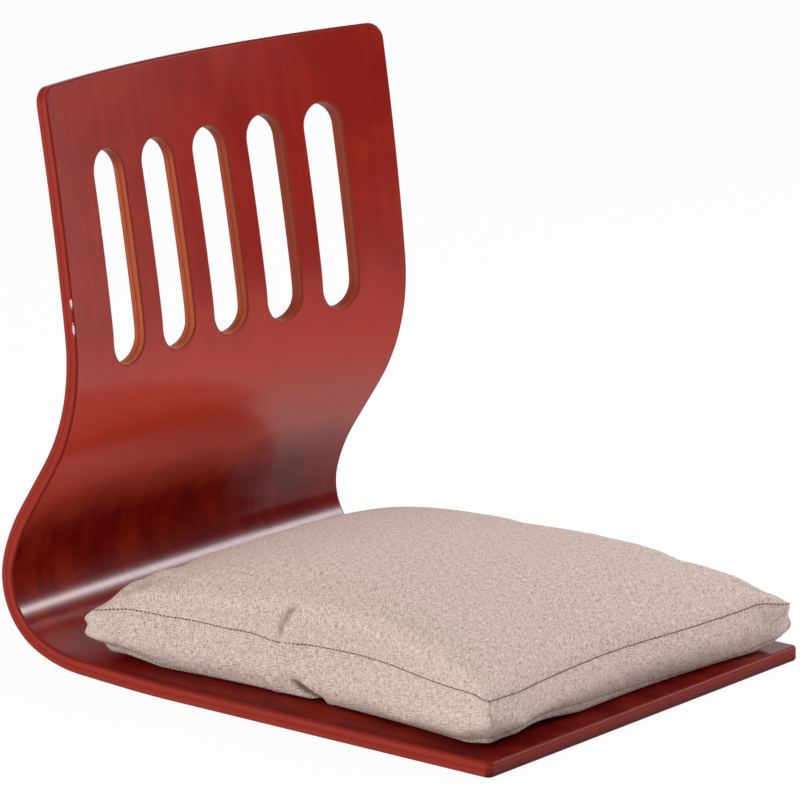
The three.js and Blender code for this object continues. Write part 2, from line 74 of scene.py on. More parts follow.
seat_width = 400
back_top_width = 412
mould_runs = [(431, 0), mould_arc(119, 22), mould_arc(57, 81.7), mould_arc(149, 18.6), (52, 0), mould_arc(-161, 40),
              (205, -1 / 2560)]
board_length = sum(length for length, bend in mould_runs)
veneer_thickness = 0.65
ply_thickness = 1.6
board_thickness = 12.5
mould_softening = 18
dish_start = 356
dish_softening = 28
top_dish = 29.1
edge_round = 2.5
slot_round = 1.5
front_corner = 6
top_corner = 15
top_arch = 5
slot_places = [65.5 * (i - 2) for i in range(5)]
slot_radius = 20.2
slot_top = board_length - 63.5
slot_bottom = slot_top - 175.5
front_edge_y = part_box("core_ply_4")[0].y * 1000
seat_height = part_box("back_face_veneer")[0].z * 1000 + board_thickness

# side line of the mould, with every change of bend eased over a short length
trace_step = 0.25
trace_margin = 60
trace_along = np.arange(-trace_margin, board_length + trace_margin, trace_step)
trace_bend = np.zeros_like(trace_along)
run_start = 0
for length, bend in mould_runs:
    trace_bend[trace_along >= run_start] = bend
    run_start += length
easing = np.ones(int(mould_softening / trace_step))
eased = np.convolve(np.pad(trace_bend, len(easing), mode="edge"), easing / len(easing), mode="same")
trace_bend = eased[len(easing):-len(easing)]
trace_heading = np.cumsum(trace_bend) * trace_step
trace_y = np.cumsum(np.cos(trace_heading)) * trace_step
trace_z = np.cumsum(np.sin(trace_heading)) * trace_step
trace_y -= np.interp(0, trace_along, trace_y)
trace_z -= np.interp(0, trace_along, trace_z)


def box_of(node):
    """Lowest and highest corner of a solid, in millimetres."""
    return [np.array(corner) * 1000 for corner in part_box(node)]


def half_width(along):
    return (seat_width + (back_top_width - seat_width) * along / board_length) / 2


def dish_share(along):
    past = along - dish_start
    eased = (past + dish_softening) ** 2 / (4 * dish_softening)
    share = np.where(past > dish_softening, past, np.where(past > -dish_softening, eased, 0))
    return share / (board_length - dish_start)


def board_point(along, across, depth):
    """Where a place on the flat board lies on the bent one, at a depth below the sitter's face."""
    heading = np.interp(along, trace_along, trace_heading)
    rise = top_dish * dish_share(along) * (2 * across / back_top_width) ** 2 - depth
    y = front_edge_y + np.interp(along, trace_along, trace_y) - np.sin(heading) * rise
    z = seat_height + np.interp(along, trace_along, trace_z) + np.cos(heading) * rise
    return np.stack([across + 0 * y, y, z], -1)


def unit(vectors):
    return vectors / np.maximum(np.linalg.norm(vectors, axis=-1, keepdims=True), 1e-9)


def board_directions(along, across):
    up_board = unit(board_point(along + 1, across, 0) - board_point(along - 1, across, 0))
    over_board = unit(board_point(along, across + 1, 0) - board_point(along, across - 1, 0))
    return over_board, up_board, unit(np.cross(over_board, up_board))


def edge_draw(to_face, rounding):
    """How far a rounded edge draws in, at a depth below the nearer face."""
    arc = rounding - np.sqrt(np.maximum(rounding ** 2 - (rounding - to_face) ** 2, 0))
    return np.where(to_face < rounding, arc, 0)


def corner_arc(across, along, radius, start, steps=12, facing=1):
    """Quarter of a circle as rim points; facing is -1 where the wood lies outside the circle."""
    angles = np.radians(start + 90 * np.arange(steps + 1) / steps)
    return [(across + radius * cos(a), along + radius * sin(a), facing * cos(a), facing * sin(a))
            for a in angles]


def straight_rim(start, end, outward, spacing=4):
    steps = max(1, round(dist(start, end) / spacing))
    return [(*(np.array(start) + (np.array(end) - start) * i / steps), *outward) for i in range(1, steps)]


# the router's template: outline and slots, as (across, along, outward across, outward along)
front_half = half_width(front_corner)
top_half = half_width(board_length)
arch_half = top_half - top_corner
top_centre = board_length - top_arch - top_corner
arch_places = np.linspace(arch_half, -arch_half, 97)[1:-1]
outline = [
    *straight_rim((front_corner - front_half, 0), (front_half - front_corner, 0), (0, -1)),
    *corner_arc(front_half - front_corner, front_corner, front_corner, -90),
    *straight_rim((front_half, front_corner), (top_half, top_centre), (1, 0)),
    *corner_arc(arch_half, top_centre, top_corner, 0),
    *[(x, board_length - top_arch * (x / arch_half) ** 2, 0, 1) for x in arch_places],
    *corner_arc(-arch_half, top_centre, top_corner, 90),
    *straight_rim((-top_half, top_centre), (-front_half, front_corner), (-1, 0)),
    *corner_arc(front_corner - front_half, front_corner, front_corner, 180),
]
slot_low = slot_bottom + slot_radius
slot_high = slot_top - slot_radius
slot_rims = []
for place in slot_places:
    left, right = place - slot_radius, place + slot_radius
    slot_rims.append([
        *corner_arc(place, slot_low, slot_radius, 180, 10, -1)[:-1],
        *corner_arc(place, slot_low, slot_radius, 270, 10, -1),
        *straight_rim((right, slot_low), (right, slot_high), (-1, 0)),
        *corner_arc(place, slot_high, slot_radius, 0, 10, -1)[:-1],
        *corner_arc(place, slot_high, slot_radius, 90, 10, -1),
        *straight_rim((left, slot_high), (left, slot_low), (1, 0)),
    ])


def slot_distance(across, along):
    reach = np.clip(along, slot_low, slot_high)
    return np.min([np.hypot(across - place, along - reach) for place in slot_places], axis=0) - slot_radius


def cut_pattern(flat_row, bent_row, column):
    """One sheet's flat pattern as points, outward ways of its rims, and triangles."""
    rim_margin = 6
    slot_margin = 3.5
    gentle_bend = 1 / 500
    rows = [float(rim_margin)]
    while rows[-1] < board_length - 10:
        bend = abs(np.interp(rows[-1] + 3, trace_along, trace_bend))
        rows.append(rows[-1] + (bent_row if bend > gentle_bend else flat_row))
    inner = []
    for along in rows:
        half = half_width(along) - rim_margin - 0.5
        steps = ceil(2 * half / column)
        inner += [(half * (2 * i / steps - 1), along) for i in range(steps + 1)]
    inner = np.array(inner)
    arch = board_length - top_arch * (inner[:, 0] / arch_half) ** 2
    corner_gap = np.hypot(np.maximum(abs(inner[:, 0]) - arch_half, 0), np.maximum(inner[:, 1] - top_centre, 0))
    off_slots = slot_distance(inner[:, 0], inner[:, 1]) > slot_margin
    inner = inner[off_slots & (arch - inner[:, 1] > rim_margin) & (corner_gap < top_corner - 5)]
    rims = np.array(outline + [point for rim in slot_rims for point in rim])
    loops = []
    start = 0
    for rim in [outline, *slot_rims]:
        loops += [(start + i, start + (i + 1) % len(rim)) for i in range(len(rim))]
        start += len(rim)
    flat = [Vector(point) for point in [*rims[:, :2], *inner]]
    _, _, faces, origins, _, _ = delaunay_2d_cdt(flat, loops, [], 1, 1e-5)
    order = [origin[0] for origin in origins]
    triangles = []
    for face in faces:
        a, b, c = (order[i] for i in face)
        middle = (flat[a] + flat[b] + flat[c]) / 3
        if slot_distance(middle.x, middle.y) > 0.01:
            triangles.append((a, b, c))
    outward = np.zeros((len(flat), 2))
    outward[:len(rims)] = rims[:, 2:]
    rounding = np.zeros(len(flat))
    rounding[:len(outline)] = edge_round
    rounding[len(outline):len(rims)] = slot_round
    return np.array([[v.x, v.y] for v in flat]), outward, rounding, np.array(triangles)


def add_object(name, points, faces, finishes, kinds=None):
    """A smooth mesh object from points in millimetres, with one finish or with one for each kind of face."""
    mesh = bpy.data.meshes.new(name)
    mesh.from_pydata((np.asarray(points, float) * 0.001).tolist(), [], [[int(i) for i in face] for face in faces])
    mesh.update()
    for finish in finishes:
        mesh.materials.append(finish.material)
    if kinds is not None:
        mesh.polygons.foreach_set("material_index", np.asarray(kinds, np.int32))
    mesh.polygons.foreach_set("use_smooth", np.ones(len(mesh.polygons), bool))
    return put_in_scene(name, mesh)


def note_places(piece, name, places):
    """Stores where each point lies on the flat material, for the finish to read."""
    layer = piece.data.attributes.new(name, "FLOAT_VECTOR", "POINT")
    layer.data.foreach_set("vector", np.ascontiguousarray(places, np.float32).ravel())


def press_sheet(name, pattern, top, bottom):
    """One sheet of wood between two depths, with its share of the rounded edges."""
    flat, outward, rounding, triangles = pattern
    rim = np.flatnonzero(rounding)
    on_rim = rounding > 0
    marks = {top, bottom}
    for round_off in (edge_round, slot_round):
        for depth in round_off * (1 - np.sin(np.linspace(0, pi / 2, 10))):
            marks |= {mark for mark in (depth, board_thickness - depth) if top + 0.02 < mark < bottom - 0.02}
    points, normals, places, row_index = [], [], [], []
    count = 0
    for depth in sorted(marks):
        chosen = np.arange(len(flat)) if depth in (top, bottom) else rim
        to_face = min(depth, board_thickness - depth)
        round_off = np.maximum(rounding[chosen], 1e-6)
        draw = edge_draw(to_face, round_off) * on_rim[chosen]
        across, along = (flat[chosen] - outward[chosen] * draw[:, None]).T
        over, up, face_way = board_directions(along, across)
        side = 1 if depth < board_thickness / 2 else -1
        rise = np.where(on_rim[chosen], np.clip((rounding[chosen] - to_face) / round_off, 0, 1), 1)[:, None]
        edge_way = unit(over * outward[chosen, :1] + up * outward[chosen, 1:])
        normals.append(unit(side * face_way * rise + edge_way * np.sqrt(np.maximum(1 - rise ** 2, 0))))
        points.append(board_point(along, across, depth))
        places.append(np.stack([across, along, np.full(len(chosen), depth)], -1))
        index = np.zeros(len(flat), int)
        index[chosen] = np.arange(len(chosen)) + count
        row_index.append(index)
        count += len(chosen)
    faces = [tuple(row_index[0][i] for i in triangle) for triangle in triangles]
    faces += [tuple(row_index[-1][i] for i in reversed(triangle)) for triangle in triangles]
    kinds = [0] * len(faces)
    edges = {edge for a, b, c in triangles for edge in ((a, b), (b, c), (c, a))}
    for a, b in sorted(edges):
        if (b, a) not in edges:
            for upper, lower in zip(row_index, row_index[1:]):
                faces.append((upper[b], upper[a], lower[a], lower[b]))
                kinds.append(2 if a >= len(outline) else 1)
    piece = add_object(name, np.concatenate(points), faces, (veneer, outer_edge, slot_wall), kinds)
    piece.data.normals_split_custom_set_from_vertices(np.concatenate(normals).tolist())
    note_places(piece, "sheet_place", np.concatenate(places))
    return piece


def linear(seen):
    """A colour as it is seen, 0 to 255, turned into the one that a node holds."""
    return [*(v / 255 / 12.92 if v <= 10.3 else ((v / 255 + 0.055) / 1.055) ** 2.4 for v in seen), 1]


class Shade:
    """One socket of a finish, so that sums on its value can be written plainly."""

    def __init__(self, finish, socket):
        self.finish = finish
        self.socket = socket

    def sum(self, operation, *others, clamp=False):
        settings = {"operation": operation, "use_clamp": clamp}
        return self.finish.node("Math", settings, dict(enumerate((self, *others))))

    def __add__(self, other):
        return self.sum("ADD", other)

    def __sub__(self, other):
        return self.sum("SUBTRACT", other)

    def __rsub__(self, other):
        return self.finish.node("Math", {"operation": "SUBTRACT"}, {0: other, 1: self})

    def __mul__(self, other):
        return self.sum("MULTIPLY", other)

    def __truediv__(self, other):
        return self.sum("DIVIDE", other)

    __radd__ = __add__
    __rmul__ = __mul__

    def held(self):
        """The value kept between 0 and 1."""
        return self.sum("ADD", 0, clamp=True)

    def step(self, low, high):
        """0 below one value, 1 above another, and a soft rise between."""
        values = {"Value": self, "From Min": low, "From Max": high}
        return self.finish.node("MapRange", {"interpolation_type": "SMOOTHSTEP"}, values)


class Finish:
    """A material, or the air of the studio, whose nodes are added one by one."""

    def __init__(self, name, store=bpy.data.materials, shader="Principled BSDF"):
        self.material = store.new(name)
        self.material.use_nodes = True
        self.tree = self.material.node_tree
        self.shader = self.tree.nodes[shader]

    def node(self, kind, settings, values, output=0):
        made = self.tree.nodes.new(f"ShaderNode{kind}")
        for name, setting in settings.items():
            if name == "stops":
                while len(made.color_ramp.elements) < len(setting):
                    made.color_ramp.elements.new(0.5)
                for element, (place, seen) in zip(made.color_ramp.elements, setting):
                    element.position = place
                    element.color = linear(seen)
            else:
                setattr(made, name, setting)
        for socket, value in values.items():
            self.feed(made.inputs[socket], value)
        return Shade(self, made.outputs[output])

    def feed(self, socket, value):
        if isinstance(value, Shade):
            self.tree.links.new(value.socket, socket)
        elif isinstance(value, tuple) and socket.type == "RGBA":
            socket.default_value = linear(value)
        else:
            socket.default_value = value

    def place(self, name):
        return self.node("Attribute", {"attribute_name": name}, {}, "Vector")

    def part(self, place, axis):
        return self.node("SeparateXYZ", {}, {0: place}, axis)

    def stretched(self, place, stretch, shift=(0, 0, 0)):
        return self.node("VectorMath", {"operation": "MULTIPLY_ADD"}, {0: place, 1: stretch, 2: shift}, "Vector")

    def noise(self, place, stretch, detail, roughness, shift=(0, 0, 0), distortion=0, output="Fac"):
        values = {"Vector": self.stretched(place, stretch, shift), "Scale": 1, "Detail": detail}
        values |= {"Roughness": roughness, "Distortion": distortion}
        return self.node("TexNoise", {"noise_dimensions": "3D"}, values, output)

    def mix(self, share, first, second):
        return self.node("Mix", {"data_type": "RGBA"}, {0: share, 6: first, 7: second}, 2)

    def ramp(self, value, stops):
        return self.node("ValToRGB", {"stops": stops}, {"Fac": value}, "Color")

    def ray(self, kind):
        return self.node("LightPath", {}, {}, f"Is {kind} Ray")

    def set(self, relief=None, **values):
        """Sets the shader's sockets; relief is a height, how far it stands out in metres, and its strength."""
        if relief:
            values["Normal"] = self.node("Bump", {}, dict(zip(("Height", "Distance", "Strength"), relief)), "Normal")
        for name, value in values.items():
            self.feed(self.shader.inputs[name.replace("_", " ")], value)

    def blend_in(self, share, other):
        """Shows another shader instead of the main one, by a share that changes over the surface."""
        main = Shade(self, self.shader.outputs[0])
        blended = self.node("MixShader", {}, {0: share, 1: main, 2: other}, "Shader")
        self.feed(self.tree.nodes["Material Output"].inputs["Surface"], blended)


# Chips: small flakes of lacquer and stain are gone from the arris of the back's right side, and bare wood shows.
# They are knocks from use, so they run along the edge and have ragged outlines.
chip_list = [(-205.2, 798, 1.4, 3.6), (-205.0, 777, 1.1, 5.0)]
bare_wood = (232, 206, 190)


def chipped(made, place):
    """Where the bare wood shows, 0 or 1, for places on the flat board."""
    ragged = made.noise(place, (1.1, 0.8, 0.5), 3, 0.6)
    found = 0
    for across, along, reach_across, reach_along in chip_list:
        shift = (-across / reach_across, -along / reach_along, -0.3)
        apart = made.stretched(place, (1 / reach_across, 1 / reach_along, 0.7), shift)
        away = made.node("VectorMath", {"operation": "LENGTH"}, {0: apart}, "Value")
        found = (1.25 - away + (ragged - 0.5) * 1.6).step(0.0, 0.25) + found
    return found.held()


# Face sheets: smooth close-grained veneer, stained cherry red and sprayed with clear lacquer. The grain runs along
# the board. The stain is cloudy, and its tone along the board carries painted light and shade: painted shade darkens
# the seat and a band in the bend, painted light turns it orange below the slots, and it is red again at the top. On
# the seat the cushion has rubbed the lacquer to satin, except at the free left corner.
veneer = Finish("stained_face_veneer")
sheet = veneer.place("sheet_place")
across_board = veneer.part(sheet, "X")
up_board = veneer.part(sheet, "Y")
pores = veneer.noise(sheet, (1.6, 0.05, 0), 3, 0.6)
streaks = veneer.noise(sheet, (0.11, 0.0035, 0), 4, 0.55, (3, 7, 0))
clouds = veneer.noise(sheet, (0.012, 0.007, 0), 3, 0.5, (11, 2, 0))
mottle = veneer.noise(sheet, (0.03, 0.018, 0), 2, 0.5, (5, 23, 0))
drift = (up_board + (clouds - 0.5) * 60) / board_length
# painted shading along the board: painted shade on the seat and in the bend's dark band, painted light in the orange
# zone below the slots
stain_and_painted_shading = veneer.ramp(drift.held(), [
    (0.34, (92, 13, 12)), (0.45, (130, 18, 8)), (0.53, (98, 11, 6)),
    (0.588, (106, 14, 9)), (0.638, (186, 62, 43)), (0.68, (188, 56, 37)),
    (0.73, (180, 46, 30)), (0.79, (146, 29, 20)), (0.95, (139, 25, 17)),
])
tone = streaks * 0.25 + clouds * 0.35 + mottle * 0.4
stain_and_painted_shading = veneer.mix(tone.step(0.42, 0.62) * 0.2, stain_and_painted_shading, (200, 62, 30))
stain_and_painted_shading = veneer.mix(pores.step(0.60, 0.72) * 0.12, stain_and_painted_shading, (96, 14, 10))
stain_and_painted_shading = veneer.mix(chipped(veneer, sheet), stain_and_painted_shading, bare_wood)
veneer.set(Base_Color=stain_and_painted_shading, Roughness=0.20 + clouds * 0.04, IOR=1.34, Coat_Weight=0.04, Coat_Roughness=0.12)
veneer.set(relief=(pores, 0.00003, 0.5))
free_corner = across_board.step(110, 150) * (1 - up_board.step(60, 110))
rubbed = (1 - drift.step(0.40, 0.46)) * (1 - free_corner)
satin = veneer.node("BsdfPrincipled", {}, {"Base Color": stain_and_painted_shading, "Roughness": 0.45, "IOR": 1.08}, "BSDF")
veneer.blend_in(rubbed, satin)


# Cut edges: the same stain soaks deeper into the plies' ends, so they are lighter and more orange than the faces.
# Every other ply shows end grain, and thin dark glue lines part them. Painted shade darkens the seat's front edge,
# most in its lower half, and the walls under the slots' top arches; a painted shadow line runs along the seat's
# bottom arris, and the slot walls towards the sitter's left are darker.
def edge_finish(name, light, dark, glue, glue_share, skin_colour, skin_share, slot_top_shade_share=0, deeper_share=0):
    made = Finish(name)
    place = made.place("sheet_place")
    across_board, up_board, depth = (made.part(place, axis) for axis in "XYZ")
    ply = (depth - veneer_thickness) / ply_thickness
    within = ply.sum("FRACT")
    glue_line = 1 - within.sum("MINIMUM", 1 - within).step(0.0, 0.09)
    layer = ply.sum("FLOOR")
    layer_tone = made.node("TexWhiteNoise", {"noise_dimensions": "1D"}, {"W": layer + 0.5}, "Value")
    fibres = made.noise(place, (0.35, 0.03, 2.4), 4, 0.6)
    ends = made.noise(place, (0.9, 0.9, 1.1), 3, 0.7, (5, 5, 5))
    tone = fibres * 0.55 + ends * 0.25 + layer_tone * 0.22
    skin = 1 - depth.sum("MINIMUM", board_thickness - depth).step(0.9, 1.5)
    # painted shade on the slot walls under the slots' top arches, which face down
    slot_top_painted_shade = up_board.step(slot_top - 24, slot_top - 6) * (1 - up_board.step(slot_top, slot_top + 3))
    # painted shadow: a dark line along the seat's bottom arris, where the shadow under the board would show
    painted_shadow_under_seat = depth.step(11.7, 12.3) * (1 - up_board.step(330, 400))
    # painted shade on the seat's front edge, deepest in its lower half
    painted_shade_front_edge = 1 - up_board.step(edge_round + 0.1, front_corner)
    wood = made.ramp(tone, [(0.32, dark), (0.68, light)])
    for share, soaked in (
            (glue_line * glue_share, glue),
            (skin * skin_share, skin_colour),
            (slot_top_painted_shade * slot_top_shade_share, dark),
            (across_board.step(-30, 70) * deeper_share, dark),
            (painted_shadow_under_seat * 0.75, (58, 14, 16)),
            (painted_shade_front_edge * (0.3 + depth.step(6.5, 10.5) * 0.55), (52, 6, 8)),
            (chipped(made, place), bare_wood)):
        wood = made.mix(share, wood, soaked)
    made.set(Base_Color=wood, Roughness=0.34 + ends * 0.1, IOR=1.2, Coat_Weight=0.02, Coat_Roughness=0.12)
    made.set(relief=(fibres * 0.6 + glue_line * -0.5, 0.00008, 0.5))
    return made


outer_edge = edge_finish("stained_outer_edge", light=(158, 50, 34), dark=(122, 28, 22),
                         glue=(74, 13, 12), glue_share=0.32, skin_colour=(116, 20, 18), skin_share=0.7)
slot_wall = edge_finish("stained_slot_wall", light=(206, 106, 68), dark=(146, 54, 36),
                        glue=(100, 36, 24), glue_share=0.38, skin_colour=(124, 24, 20), skin_share=0.8,
                        slot_top_shade_share=0.8, deeper_share=0.75)

fine_pattern = cut_pattern(9, 4.5, 9)
plain_pattern = cut_pattern(20, 9, 30)
sheet_depths = [0, *(veneer_thickness + ply_thickness * i for i in range(8)), board_thickness]
sheet_nodes = ["front_face_veneer", *[f"core_ply_{i}" for i in range(1, 8)], "back_face_veneer"]
for i, node in enumerate(sheet_nodes):
    is_face = i in (0, 8)
    pattern = fine_pattern if is_face else plain_pattern
    piece = press_sheet(f"{node}_pressed", pattern, sheet_depths[i], sheet_depths[i + 1])
    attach(piece, "shell")
    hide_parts(node)

# Pads: discs of pressed felt, glued under the seat's four corners so that the board doesn't scratch the floor.
# Their rims are a little frayed.
felt = Finish("pressed_felt")
felt_place = felt.place("felt_place")
tufts = felt.noise(felt_place, (1.2, 1.2, 1.2), 5, 0.7, distortion=0.6)
specks = felt.noise(felt_place, (3.5, 3.5, 3.5), 3, 0.6, (9, 4, 1))
felt_tone = felt.ramp(tufts * 0.7 + specks * 0.3, [(0.3, (30, 26, 24)), (0.7, (62, 56, 51))])
felt.set(Base_Color=felt_tone, Roughness=0.95, Sheen_Weight=0.25, Sheen_Roughness=0.5)
felt.set(relief=(tufts + specks * 0.5, 0.0004, 0.8))
pad_spokes = 48
pad_profile = [(0, 0), (6, 0), (10, 0), (11.7, 0.1), (12.3, 0.5), (12.5, 1.0), (12.3, 1.5), (12, 2), (6, 2), (0, 2)]


def tube_faces(rings, around, start=0, closed=True):
    """Faces between equal rings of points, with or without the two ends."""
    faces = []
    for ring in range(rings - 1):
        for k in range(around):
            a, b = (start + ring * around + spoke for spoke in (k, (k + 1) % around))
            faces.append((a, b, b + around, a + around))
    if closed:
        last = start + (rings - 1) * around
        faces += [tuple(range(start + around - 1, start - 1, -1)), tuple(range(last, last + around))]
    return faces


for node in ("felt_pad_front_right", "felt_pad_front_left", "felt_pad_rear_right", "felt_pad_rear_left"):
    low, high = box_of(node)
    middle = (low + high) / 2
    points = []
    for radius, height in pad_profile:
        for spoke in range(pad_spokes):
            angle = 2 * pi * spoke / pad_spokes
            fray = 1 if radius < 11 else 1 + 0.006 * sin(spoke * 5.3) * sin(spoke * 1.7)
            reach = max(radius, 0.02) * fray
            points.append((middle[0] + reach * cos(angle), middle[1] + reach * sin(angle), low[2] + height))
    pad = add_object(f"{node}_disc", points, tube_faces(len(pad_profile), pad_spokes), [felt])
    note_places(pad, "felt_place", np.array(points) - middle)
    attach(pad, "shell")
    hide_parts(node)

# Cushion cover: a top and a bottom panel of linen-like cloth, sewn to a strip that runs round the sides. The top is
# crowned by the filling, the sides draw in between the corners, and the cloth bulges, gathers and creases where the
# filling pushes it or leaves it slack.
cover_middle = sum(box_of("cushion_top_panel")) / 2
cover_middle[2] = box_of("cushion_bottom_panel")[0][2]
cover_half_width = 180
cover_half_depth = 208
side_draw = 28
lower_side_draw = 18
front_draw = 15
corner_turn = 8
upper_seam_height = 42
crown = 56
side_fullness = 0.28
end_fullness = 0.52
lean_to_right = 0.12
cells_across = 72
cells_deep = 84
strip_shares = [0, 0.12, 0.24, 0.36, 0.5, 0.64, 0.76, 0.88, 1]
zip_rows = (3, 4)
zip_half = 153


def seam_spacing(cells):
    """Shares from -1 to 1, closer together towards the seams."""
    even = np.linspace(-1, 1, cells + 1)
    return even * 0.35 + np.sin(pi / 2 * even) * 0.65


panel_u, panel_v = (grid.ravel() for grid in np.meshgrid(seam_spacing(cells_across), seam_spacing(cells_deep)))
panel_count = len(panel_u)
panel_grid = np.arange(panel_count).reshape(cells_deep + 1, cells_across + 1)


def cover_plan(u, v, draw=side_draw):
    """Plan of a panel: the sides and the front draw in between the corners, and the corners are turned round."""
    x = u * (cover_half_width - draw * (1 - v ** 2))
    y = v * cover_half_depth + front_draw * (1 - u ** 2) * ((1 - v) / 2) ** 2
    place = np.stack([x, y])
    inner = np.array([[cover_half_width], [cover_half_depth]]) - corner_turn
    past = np.maximum(abs(place) - inner, 0)
    turn = np.where(past.min(0) > 0, past.max(0) / np.maximum(np.hypot(*past), 1e-6), 1)
    return np.sign(place) * (np.minimum(abs(place), inner) + past * turn)


def fullness(u, v):
    leaning = u + lean_to_right * (1 - u ** 2)
    return np.maximum(0, 1 - leaning ** 2) ** side_fullness * np.maximum(0, 1 - v ** 2) ** end_fullness


def lower_rim(u, v):
    """Height of the lower seam: it lifts at the corners, at the zip and along the front, where the bottom shows."""
    front = np.interp(u, [-1, -0.85, -0.5, -0.25, 0.15, 0.5, 0.8, 1], [2, 5.5, 9.5, 8, 5, 2, 3, 5])
    return 1.5 + 5 * (u * v) ** 6 + 7.5 * ((1 + v) / 2) ** 8 + front * ((1 - v) / 2) ** 8


def nudged(points, centre, reach, move):
    """Points drawn along by a soft pull that is strongest at one place and ends at its reach."""
    away = np.linalg.norm((points - np.array(centre)) / np.array(reach), axis=-1, keepdims=True)
    return points + np.array(move) * np.maximum(0, 1 - away ** 2) ** 2


# the seam's points in order: front, left, back, right
seam_loop = np.concatenate([panel_grid[0, :-1], panel_grid[:-1, -1], panel_grid[-1, :0:-1], panel_grid[:0:-1, 0]])
seam_count = len(seam_loop)
loop_u, loop_v = panel_u[seam_loop], panel_v[seam_loop]
panel_x, panel_y = cover_plan(panel_u, panel_v)
lower_x, lower_y = cover_plan(panel_u, panel_v, lower_side_draw)
loop_x, loop_y = panel_x[seam_loop], panel_y[seam_loop]
loop_ahead = np.stack([np.roll(loop_x, -1) - np.roll(loop_x, 1), np.roll(loop_y, -1) - np.roll(loop_y, 1)], -1)
loop_out = unit(np.stack([loop_ahead[:, 1], -loop_ahead[:, 0]], -1))
for _ in range(6):
    loop_out = unit(loop_out + np.roll(loop_out, 1, axis=0) + np.roll(loop_out, -1, axis=0))
on_back = np.clip((loop_v - 0.93) / 0.05, 0, 1)
on_left = (loop_u < -0.999).astype(float)
on_right = (loop_u > 0.999).astype(float)
on_side = np.maximum(on_left, on_right)
left_bulge = np.interp(loop_v, [-1, -0.92, -0.8, -0.6, -0.3, 0, 0.12, 0.25, 0.5, 0.85, 1],
                       [2, 4, 7, 8, 5, 2, 1, 2, 3, 4, 3])
front_bulge = np.interp(loop_u, [-1, -0.9, -0.5, 0.5, 0.85, 1], [3, 4, 6, 6, 4, 3])
right_bulge = 3 + 3 * (1 - loop_v ** 4)
strip_bulge = (left_bulge * on_left + right_bulge * on_right + front_bulge * (1 - on_side)) * (1 - on_back)

full = fullness(panel_u, panel_v)
top_z = upper_seam_height - 0.5 * (panel_u * panel_v) ** 4 + crown * full
bottom_z = 0.5 + (lower_rim(panel_u, panel_v) - 0.5) * np.maximum(0, 1 - 1.3 * full ** 0.2)
cover_points = [np.stack([panel_x, panel_y, top_z], -1), np.stack([lower_x, lower_y, bottom_z], -1)]
strip_rows = [seam_loop + panel_count]
for share in strip_shares[1:-1]:
    between = cover_points[1][seam_loop] * (1 - share) + cover_points[0][seam_loop] * share
    bulge = strip_bulge * np.sin(pi * share ** (1 - 0.5 * on_side))
    rolled = 8 * on_side * (1 - on_back) * sin(pi * share) ** 2 * (1 - share)
    strip_rows.append(np.arange(seam_count) + sum(len(block) for block in cover_points))
    cover_points.append(between + np.pad(loop_out * (bulge + rolled)[:, None], ((0, 0), (0, 1))))
strip_rows.append(seam_loop)
cover_points = np.concatenate(cover_points)

# the sewn corners stand proud where the strip is folded round them, and the long seams sway a little
cover_lobes = [
    ((-182, 208, 36), (22, 30, 11), (-14, 14, -1)),
    ((-182, 208, 22.5), (22, 30, 11), (-13, 15, 0)),
    ((-176, 190, 2), (44, 44, 16), (0, 0, 5)),
    ((-158, 192, 56), (50, 50, 40), (0, 0, 6)),
    ((180, -208, 40), (26, 26, 20), (6, -13, -2)),
    ((150, -90, 84), (70, 100, 60), (0, 0, 4)),
    ((180, -208, 17), (28, 28, 16), (6, -9, 1)),
    ((166, -165, 50), (42, 60, 36), (0, 0, 5.5)),
    ((180, 208, 26), (26, 26, 30), (6, 7, 0)),
    ((-180, -208, 42), (34, 34, 26), (-3, 6, 0)),
    ((-178, -206, 4), (40, 40, 26), (7, 11, 0)),
    ((-120, -200, 0), (70, 50, 22), (0, 3, 6)),
    ((-160, 140, 42), (45, 55, 40), (3, 0, 1)),
    ((-155, 36, 42), (30, 30, 24), (-4, 0, -2)),
    ((-152, -48, 42), (45, 60, 40), (2, 0, 1)),
    ((-166, -140, 42), (45, 55, 40), (-2, 0, -1)),
    ((80, -198, 40), (110, 40, 40), (0, -5, -0.5)),
]
for centre, reach, move in cover_lobes:
    cover_points = nudged(cover_points, centre, reach, move)


def panel_faces():
    """Faces of the top panel and, turned over, of the bottom one."""
    near, far = panel_grid[:-1], panel_grid[1:]
    top = np.stack([near[:, :-1], near[:, 1:], far[:, 1:], far[:, :-1]], -1).reshape(-1, 4)
    return np.stack([top, top[:, [0, 3, 2, 1]] + panel_count], 1).reshape(-1, 4).tolist()


yarn_pitch = 1.1
yarn_light = (242, 225, 213)
yarn_middle = (217, 197, 185)
yarn_dark = (164, 140, 128)


